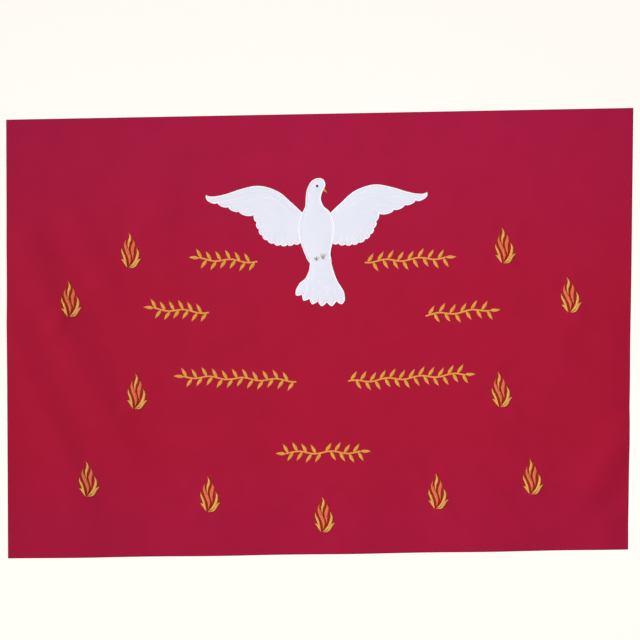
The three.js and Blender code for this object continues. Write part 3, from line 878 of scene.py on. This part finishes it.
# The border's white thread glows a little: painted light that makes it brighter than the lamps alone would.
BORDER_PAINTED_GLOW = 0.12
BORDER_PAINTED_GLOW_COLOUR = (0.92, 0.92, 1, 1)
border_shader = bird_thread.node_tree.nodes["Principled BSDF"]
border_shader.inputs["Emission Color"].default_value = BORDER_PAINTED_GLOW_COLOUR
border_shader.inputs["Emission Strength"].default_value = BORDER_PAINTED_GLOW


def inset(outline, margin):
    """The closed outline, moved inward by margin."""
    before = np.roll(outline, 1, axis=0)
    after = np.roll(outline, -1, axis=0)
    run = after - before
    area = np.sum(outline[:, 0] * after[:, 1] - after[:, 0] * outline[:, 1])
    inward = np.sign(area) * np.stack([-run[:, 1], run[:, 0]], axis=1)
    return outline + margin * inward / np.hypot(*inward.T)[:, None]


def wing_edge(wing):
    """The wing's edge without its root, which lies under the body."""
    outline = inset(wing_outline(wing), BORDER_WIDTH / 2)
    return outline[:-len(WING_ROOT)]


def body_edge():
    """The body's outline from hip to hip round the head. It ends above the root of the tail."""
    edge = inset(body_outline, BORDER_WIDTH / 2)
    crown = int(np.argmax(edge[:, 1]))
    edge = np.roll(edge, len(edge) // 2 - crown, axis=0)
    return edge[edge[:, 1] > HIP]


border_guides = [guide(wing_edge(wing), BORDER_WIDTH, WING_LIFT) for wing in WINGS]
border_guides.append(guide(inset(tail_outline(), BORDER_WIDTH / 2), BORDER_WIDTH, WING_LIFT))
border_guides.append(guide(body_edge(), BORDER_WIDTH, BODY_LIFT))
border = sew("bird_border", border_guides, bird_thread, **BORDER_STITCH)
quilting_guides = [guide(line, LINE_WIDTH, LINE_LIFT) for line in bird_lines]
quilting = sew("bird_quilting", quilting_guides, quilting_thread, **LINE_STITCH)
for piece in (border, quilting):
    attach(piece, "root")
    sewn_on.append(piece)

# Beak, eye and feet
# The beak is worked in gold thread beside the head, the eye is a black knot, and each foot is three short
# toes of olive-gold thread on the body.
# Each spine of the beak: its width, the share of its length where that is reached, and its points.
BEAK_SPINES = (
    (3.6, 0.8, ((17.5, -162), (13.5, -156), (8.5, -151.5))),
    (2, 0.7, ((13.5, -159.5), (11.5, -157), (8.5, -154.5))),
)
BEAK_LIFT = 0.5
BEAK_STITCH = {"pitch": 0.6, "radius": 0.32, "crown": 0.6}
# The eye: across, up and radius. Each foot: its node, across, up, the toes' length and their spread.
EYE = (-3, -147, 2.4)
EYE_ROWS = 12
EYE_REACH = 0.98
EYE_STITCH = {"pitch": 0.5, "radius": 0.34, "crown": 0.7}
FEET = (("bird_foot_left", -4, -294.5, 9, 38), ("bird_foot_right", 9.5, -290.5, 14, 24))
TOE_WIDTH = 2
TOE_WIDEST = 0.6
TOE_STITCH = {"pitch": 0.6, "radius": 0.3, "crown": 0.5}
ON_BODY = 1.8
# A tongue is never narrower than its tip, and what is added round it is full from a quarter of the way in.
TIP = 0.5
OUTLINE_GROWTH = 4
SPINE_STEPS = 24


def spine_widths(count, width, widest, extra=0.0):
    """Widths from tip to root of a tongue, greatest at widest. extra is added on both sides."""
    t = np.linspace(0, 1, count)
    share = np.where(t < widest, t / widest, (1 - t) / (1 - widest))
    whole = np.maximum(width * np.sin(np.pi / 2 * share), TIP)
    return whole + 2 * extra * np.minimum(1, OUTLINE_GROWTH * share)


def tongue(width, widest, spine, lift=0.0, extra=0.0, place=(0, 0), tilt=0.0, behind=False):
    """The guide of one stitched tongue, from its tip to its root. tilt is to the left, in degrees."""
    line = smooth(spine, SPINE_STEPS)
    if extra:
        line[0] += extra * (line[0] - line[1]) / math.dist(line[0], line[1])
    widths = spine_widths(len(line), width, widest, extra)
    cos, sin = math.cos(math.radians(tilt)), math.sin(math.radians(tilt))
    x, y = line.T
    line = np.stack([place[0] + x * cos - y * sin, place[1] + x * sin + y * cos], axis=1)
    return guide(line, widths, lift, behind=behind)


gold_thread = thread_material("gold_thread", srgb(255, 200, 88), srgb(232, 166, 60))
black_thread = thread_material("black_thread", srgb(32, 28, 28), srgb(16, 14, 14), roughness=0.3)
olive_thread = thread_material("olive_thread", srgb(208, 202, 180), srgb(170, 162, 130))

beak_guides = [tongue(*row, lift=BEAK_LIFT) for row in BEAK_SPINES]
beak = sew("bird_beak_stitches", beak_guides, gold_thread, **BEAK_STITCH)
eye_turns = np.linspace(-EYE_REACH, EYE_REACH, EYE_ROWS)
eye_line = np.stack([np.full(EYE_ROWS, EYE[0]), EYE[1] + EYE[2] * eye_turns], axis=1)
eye_widths = 2 * EYE[2] * np.sqrt(1 - eye_turns ** 2)
eye = sew("bird_eye_knot", [guide(eye_line, eye_widths, ON_BODY)], black_thread, **EYE_STITCH)
for piece, node, slot in ((beak, "bird_beak", "gold_thread"), (eye, "bird_eye", "black_thread")):
    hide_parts(node)
    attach(piece, "root")
    sewn_on.append(piece)


def toe_spine(degrees, reach):
    """A toe's spine from its tip to the foot's heel."""
    angle = math.radians(degrees)
    return ((reach * math.sin(angle), reach * math.cos(angle) - reach / 2), (0, -reach / 2))


for node, across, up, reach, spread in FEET:
    toes = [
        tongue(TOE_WIDTH, TOE_WIDEST, toe_spine(side * spread, reach), ON_BODY, place=(across, up))
        for side in (-1, 0, 1)
    ]
    foot = sew(node + "_stitches", toes, olive_thread, **TOE_STITCH)
    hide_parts(node)
    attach(foot, "root")
    sewn_on.append(foot)

# Flames
# Each flame is worked in satin stitch: a dark brown ground first, then five tongues and two spurs in orange
# and yellow thread over it, so that the ground shows between them as an outline.
# Each tongue: its thread, its width, the share of its length where that is reached, and its spine.
TONGUES = (
    ("yellow", 5.6, 0.55, ((-3, 37), (-0.5, 29), (-1, 23), (-3.5, 15), (-3.5, 2))),
    ("orange", 7, 0.6, ((-9, 23), (-11, 13), (-8, 3), (-1, -16), (-2, -30))),
    ("orange", 7.4, 0.6, ((6.5, 22.5), (7, 14), (4.5, 4), (6, -18))),
    ("yellow", 4.6, 0.7, ((-17, 5.5), (-17, -1), (-13, -11), (-6.5, -34))),
    ("yellow", 3.8, 0.6, ((-18.5, -18), (-14.5, -20), (-7, -34))),
    ("yellow", 6, 0.6, ((13, 5.5), (15.5, -5), (9, -25), (-2.5, -34.5))),
    ("yellow", 4, 0.5, ((22, -17), (17.5, -20), (8, -33), (-2, -35.5))),
)
# The ground is as wide as the tongues and an outline more, and a broad heart fills its middle.
FLAME_OUTLINE = 3
FLAME_HEART = (17, 0.5, ((-1, 12), (0, -8), (-2, -36)))
FLAME_TILTS = (3, 0, 5.5, 2.5, 5, -1.5, 3, 2, 1.5, 1, 1)
GROUND_STITCH = {"pitch": 0.95, "radius": 0.42, "crown": 0.25}
TONGUE_LIFT = 0.45
TONGUE_STITCH = {"pitch": 0.72, "radius": 0.36, "crown": 0.55, "slant": 18}

flame_threads = {
    "dark": thread_material(
        "dark_brown_thread", srgb(170, 56, 0), srgb(146, 42, 0), roughness=0.6, shine=0.05,
    ),
    "orange": thread_material("orange_thread", srgb(255, 142, 106), srgb(236, 112, 74)),
    "yellow": thread_material("yellow_thread", srgb(255, 208, 124), srgb(242, 174, 84)),
}

for number, (place, tilt) in enumerate(zip(FLAMES, FLAME_TILTS), start=1):
    ground = [tongue(*row, extra=FLAME_OUTLINE, place=place, tilt=tilt) for _, *row in TONGUES]
    ground.append(tongue(*FLAME_HEART, place=place, tilt=tilt))
    layers = [sew("flame_ground", ground, flame_threads["dark"], seed=number, **GROUND_STITCH)]
    for shade in ("orange", "yellow"):
        tongues = [
            tongue(*row, lift=TONGUE_LIFT, place=place, tilt=tilt)
            for thread, *row in TONGUES if thread == shade
        ]
        layers.append(sew("flame_" + shade, tongues, flame_threads[shade], seed=number, **TONGUE_STITCH))
    flame = join_pieces(f"flame_{number:02d}_stitches", layers)
    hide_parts(f"flame_{number:02d}")
    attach(flame, "root")
    sewn_on.append(flame)

# Sprigs
# Seven leafy sprigs in gold satin stitch. A wavy stem carries leaves on both sides and one at its growing
# end. Each row: across, up, length, fall for each millimetre to the right, and which way it grows.
SPRIGS = (
    (-195, -295, 140, 0.064, -1),
    (189, -300, 186, -0.033, 1),
    (-291, -396, 134, 0.081, -1),
    (297, -409, 152, -0.073, 1),
    (-170, -538, 251, 0.052, -1),
    (193, -542, 260, -0.05, 1),
    (12, -693, 196, 0.006, 0),
)
STEM_WIDTH = 3.4
STEM_WAVE = 2.6
STEM_WAVE_LENGTH = 68
LEAF_STEP = 20
LEAF_LENGTH = 22
LEAF_WIDTH = 7
LEAF_WIDEST = 0.42
LEAF_ANGLE = 58
LEAF_LIFT = 0.15
LEAF_STITCH = {"pitch": 0.72, "radius": 0.36, "crown": 0.6, "slant": 18}
STEM_STEPS = 8


def stem_height(x):
    """How far the wavy stem lies above its line at x."""
    return STEM_WAVE * np.sin(2 * np.pi * np.asarray(x) / STEM_WAVE_LENGTH)


def from_sprig(sprig, points):
    """Points of the sprig's own drawing, placed on the banner."""
    across, up, _, slope, _ = sprig
    x, y = np.asarray(points, float).T
    return np.stack([across + x, up + y - slope * x], axis=1)


def sprig_guides(sprig, behind=False):
    """The guides of a sprig's stem and of its leaves, two for each step of the stem."""
    _, _, length, _, grows = sprig
    end = length / 2
    start = -end if grows > 0 else LEAF_LENGTH - end
    stop = end if grows < 0 else end - LEAF_LENGTH
    steps = round((stop - start) / LEAF_STEP)
    x = np.linspace(start, stop, STEM_STEPS * steps + 1)
    stem = from_sprig(sprig, np.stack([x, stem_height(x)], axis=1))
    guides = [guide(stem, STEM_WIDTH, behind=behind)]
    leaves = []
    for i in range(2 * steps):
        root = start + (i + 0.5) * (stop - start) / (2 * steps)
        side = 1 if i % 2 == 0 else -1
        rightward = (grows or root) > 0
        leaves.append((root, side * LEAF_ANGLE if rightward else 180 - side * LEAF_ANGLE))
    if grows >= 0:
        leaves.append((stop, 0))
    if grows <= 0:
        leaves.append((start, 180))
    for root, angle in leaves:
        along = np.linspace(LEAF_LENGTH, 0, SPINE_STEPS)
        turn = math.radians(angle)
        line = np.stack([root + along * math.cos(turn), stem_height(root) + along * math.sin(turn)], axis=1)
        widths = spine_widths(SPINE_STEPS, LEAF_WIDTH, 1 - LEAF_WIDEST)
        guides.append(guide(from_sprig(sprig, line), widths, LEAF_LIFT, behind=behind))
    return guides


for number, sprig in enumerate(SPRIGS, start=1):
    guides = sprig_guides(sprig)
    piece = sew(f"sprig_{number}_stitches", guides, gold_thread, seed=number, **LEAF_STITCH)
    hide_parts(f"sprig_{number}")
    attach(piece, "root")
    sewn_on.append(piece)

# Back of the embroidery
# The needle carries each thread through the cloth, so the same shapes show on the back, in wider spaced and
# flatter stitches.
REVERSE_STITCH = {"pitch": 1.4, "radius": 0.5, "crown": 0.1, "slant": 18, "seed": 3}
REVERSE_WIDTH = 0.9

reverse_borders = [wing_edge(wing) for wing in WINGS]
reverse_borders += [inset(tail_outline(), BORDER_WIDTH / 2), body_edge()]
reverse_flames = {"orange": [], "yellow": []}
for place, tilt in zip(FLAMES, FLAME_TILTS):
    for shade, width, widest, spine in TONGUES:
        reverse_flames[shade].append(
            tongue(REVERSE_WIDTH * width, widest, spine, place=place, tilt=tilt, behind=True)
        )
reverse_sprigs = [row for sprig in SPRIGS for row in sprig_guides(sprig, behind=True)]
REVERSES = (
    ("bird_reverse", [guide(line, BORDER_WIDTH, behind=True) for line in reverse_borders],
     quilting_thread, "white_satin"),
    ("flame_reverse_orange", reverse_flames["orange"], flame_threads["orange"], "flame_thread"),
    ("flame_reverse_yellow", reverse_flames["yellow"], flame_threads["yellow"], "flame_thread"),
    ("sprig_reverse", reverse_sprigs, gold_thread, "gold_thread"),
)
for name, guides, thread, slot in REVERSES:
    piece = sew(name, guides, thread, **REVERSE_STITCH)
    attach(piece, "root")
    sewn_on.append(piece)

# Studio
# A pale floor runs up into a plain backdrop well behind the banner. A soft lamp stands in front, and a broad
# low sun from the left shades the folds.
FLOOR_Z = -2.2
WALL_Y = 4.8
SWEEP_RADIUS = 0.8
STAGE_HALF_WIDTH = 20
STAGE_FRONT = -12
WALL_TOP = 12
SWEEP_STEPS = 16


def stage_mesh():
    """The floor, the round sweep and the wall, as one strip."""
    turns = np.linspace(0, math.pi / 2, SWEEP_STEPS)
    profile = [(STAGE_FRONT, FLOOR_Z)]
    profile += [
        (WALL_Y - SWEEP_RADIUS + SWEEP_RADIUS * math.sin(t), FLOOR_Z + SWEEP_RADIUS * (1 - math.cos(t)))
        for t in turns
    ]
    profile.append((WALL_Y, WALL_TOP))
    points = [(x, y, z) for y, z in profile for x in (-STAGE_HALF_WIDTH, STAGE_HALF_WIDTH)]
    faces = [(2 * i, 2 * i + 1, 2 * i + 3, 2 * i + 2) for i in range(len(profile) - 1)]
    return np.array(points) / MM, faces


stage = make_object("studio_floor", *stage_mesh())
PAPER = (0.4, 0.39, 0.37, 1)
GLOW_COLOUR = (1.0, 0.967, 0.9, 1)
GLOW_START = -1.5
GLOW_FULL = 0.8
GLOW = 0.705


def pale_paper():
    """Warm white paper. Its far part glows, so that the backdrop stays as bright as the light in front."""
    material, tree, shader, place = start_material("pale_paper")
    shader.inputs["Base Color"].default_value = PAPER
    shader.inputs["Roughness"].default_value = 0.9
    shader.inputs["Specular IOR Level"].default_value = 0.1
    apart = tree.nodes.new("ShaderNodeSeparateXYZ")
    tree.links.new(place, apart.inputs["Vector"])
    glow = tree.nodes.new("ShaderNodeMapRange")
    glow.inputs["From Min"].default_value = GLOW_START
    glow.inputs["From Max"].default_value = GLOW_FULL
    glow.inputs["To Max"].default_value = GLOW
    tree.links.new(apart.outputs["Y"], glow.inputs["Value"])
    shader.inputs["Emission Color"].default_value = GLOW_COLOUR
    tree.links.new(glow.outputs["Result"], shader.inputs["Emission Strength"])
    return material


stage.data.materials.append(pale_paper())

AIM = Vector((0, 0, -0.36))


def add_lamp(name, kind, place, power, colour):
    """A lamp that shines toward a point just above the banner's middle."""
    lamp = bpy.data.lights.new(name, kind)
    lamp.energy = power
    lamp.color = colour
    light = bpy.data.objects.new(name, lamp)
    bpy.context.scene.collection.objects.link(light)
    light.location = place
    light.rotation_euler = (AIM - light.location).to_track_quat("-Z", "Y").to_euler()
    return lamp


front = add_lamp("front", "SPOT", (0.45, -3.4, -0.1), 215, (1, 0.99, 0.98))
front.spot_size = math.radians(50)
front.spot_blend = 1
front.shadow_soft_size = 0.35
side = add_lamp("side", "SUN", (-3.0, -1.5, 0.75), 2.2, (1, 0.98, 0.98))
side.angle = math.radians(18)

world = bpy.data.worlds.new("studio")
bpy.context.scene.world = world
world.use_nodes = True
world.node_tree.nodes["Background"].inputs["Color"].default_value = (0.93, 0.95, 1.0, 1)
world.node_tree.nodes["Background"].inputs["Strength"].default_value = 0.22
bpy.context.scene.view_settings.view_transform = "Standard"
